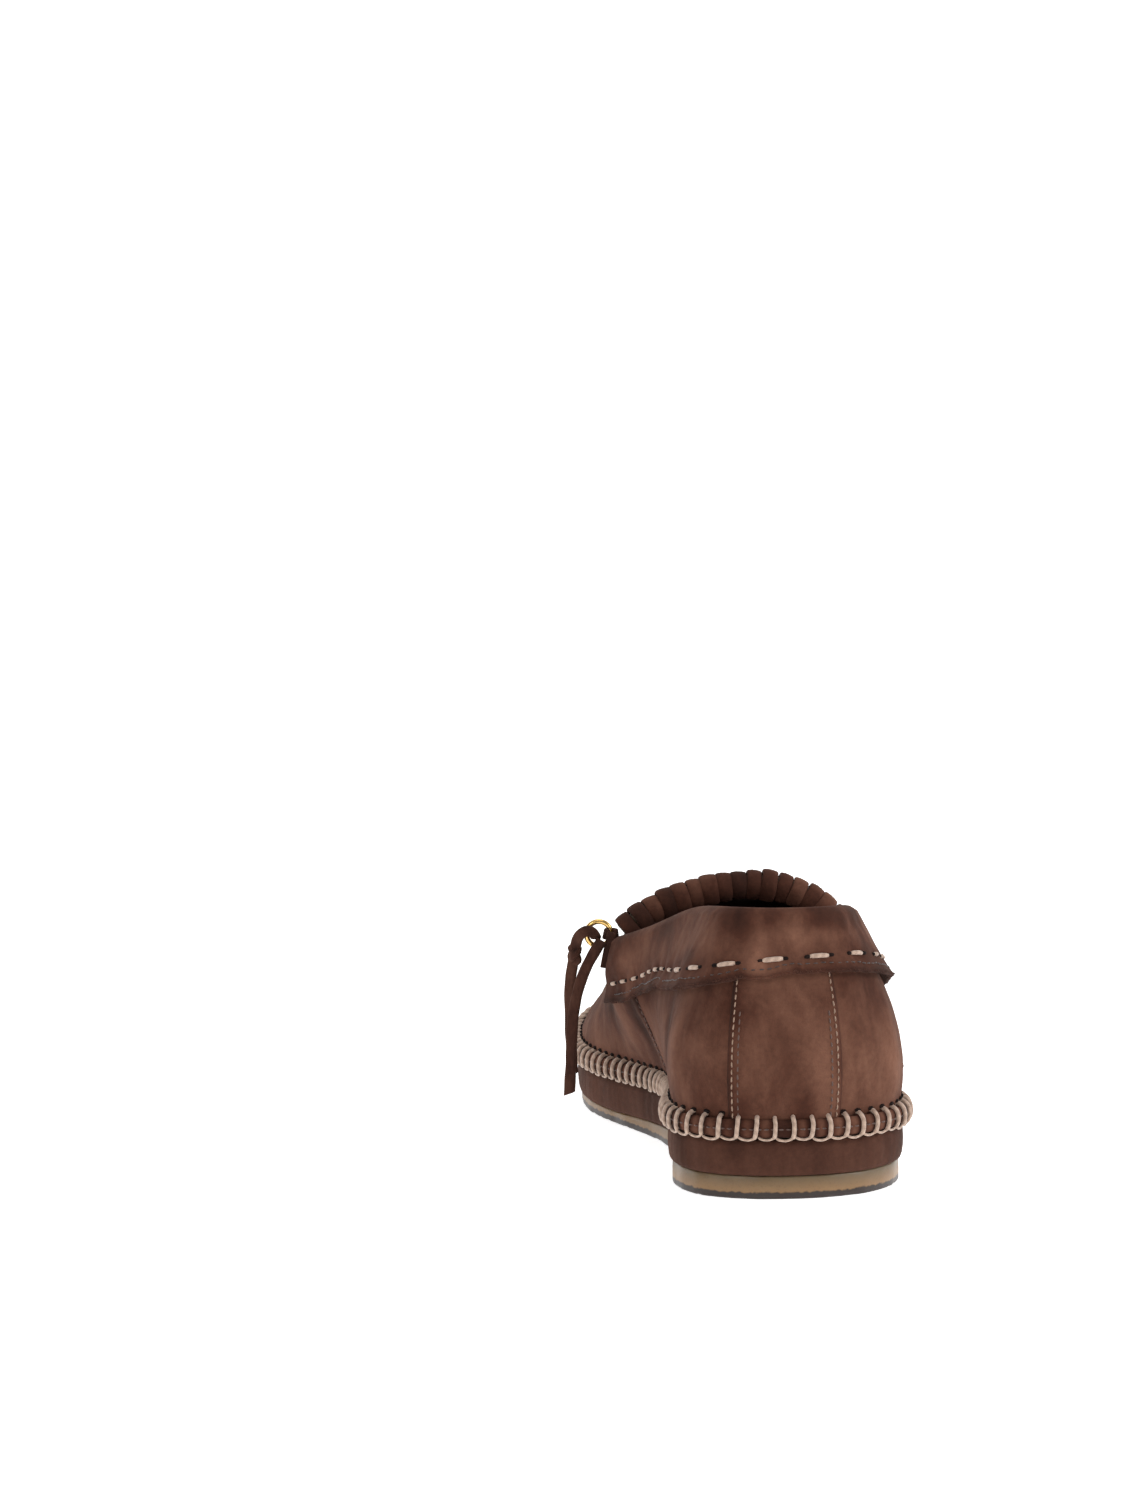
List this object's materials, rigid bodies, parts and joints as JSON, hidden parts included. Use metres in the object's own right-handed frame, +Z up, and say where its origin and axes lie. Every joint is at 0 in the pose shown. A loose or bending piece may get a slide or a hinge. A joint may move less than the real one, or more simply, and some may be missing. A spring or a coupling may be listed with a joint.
{
  "type": "moccasin",
  "caption": "Right-foot suede moccasin with turned collar, wrapped throat roll, whipstitched seam, gum sole, and rings with hanging thong ties.",
  "frame": {"origin": "bottom centre of the shoe's bounding box, on the floor, without the hanging ties", "axes": "+Y from heel to toe, +X to the outer (lateral) side of the right foot, +Z up"},
  "size_m": [0.1182, 0.2756, 0.093],
  "materials": {
    "suede": "matte brushed nubuck",
    "lining_leather": "smooth matte",
    "gum_rubber": "satin translucent gum",
    "waxed_thread": "waxed twisted thread",
    "gold_metal": "polished",
    "sole_foam": "matte foam",
    "fibre_board": "matte pressed fibre"
  },
  "bodies": {
    "shoe": {"outsole": "gum_rubber", "midsole": "sole_foam", "insole_board": "fibre_board", "heel_cushion": "sole_foam", "sock_liner": "lining_leather", "rand_cover": "suede", "welt_strip": "suede", "whipstitch_thread": "waxed_thread", "lateral_quarter": "suede", "medial_quarter": "suede", "vamp": "suede", "heel_strip": "suede", "heel_counter": "fibre_board", "toe_puff": "fibre_board", "quarter_lining": "lining_leather", "vamp_lining": "lining_leather", "collar_cuff": "suede", "collar_stitches": "waxed_thread", "apron": "suede", "apron_lining": "lining_leather", "apron_thread": "waxed_thread", "throat_roll_core": "sole_foam", "throat_wrap": "suede", "medial_ring_tab": "suede", "lateral_ring_tab": "suede"},
    "medial_ring_body": {"medial_ring": "gold_metal"},
    "medial_tie": {"medial_thong_tail": "suede", "medial_thong_loop": "suede", "medial_thong_end": "suede", "medial_tie_knot": "suede"},
    "lateral_ring_body": {"lateral_ring": "gold_metal"},
    "lateral_tie": {"lateral_thong_tail": "suede", "lateral_thong_loop": "suede", "lateral_thong_end": "suede", "lateral_tie_knot": "suede"}
  },
  "joints": [
    {"name": "medial_ring_swing", "type": "hinge", "parent": "shoe", "child": "medial_ring_body", "pos_m": [-0.045, -0.0178, 0.0715], "axis": [0, 0, 1], "range_deg": [-30, 12]},
    {"name": "medial_tie_swing", "type": "hinge", "parent": "medial_ring_body", "child": "medial_tie", "pos_m": [-0.0502, -0.0182, 0.0704], "axis": [0, 1, 0], "range_deg": [-8, 40]},
    {"name": "lateral_ring_swing", "type": "hinge", "parent": "shoe", "child": "lateral_ring_body", "pos_m": [0.0423, -0.0183, 0.0585], "axis": [0, 0, -1], "range_deg": [0, 50]},
    {"name": "lateral_tie_swing", "type": "hinge", "parent": "lateral_ring_body", "child": "lateral_tie", "pos_m": [0.0427, -0.0126, 0.0574], "axis": [0, -1, 0], "range_deg": [-6, 14]}
  ]
}
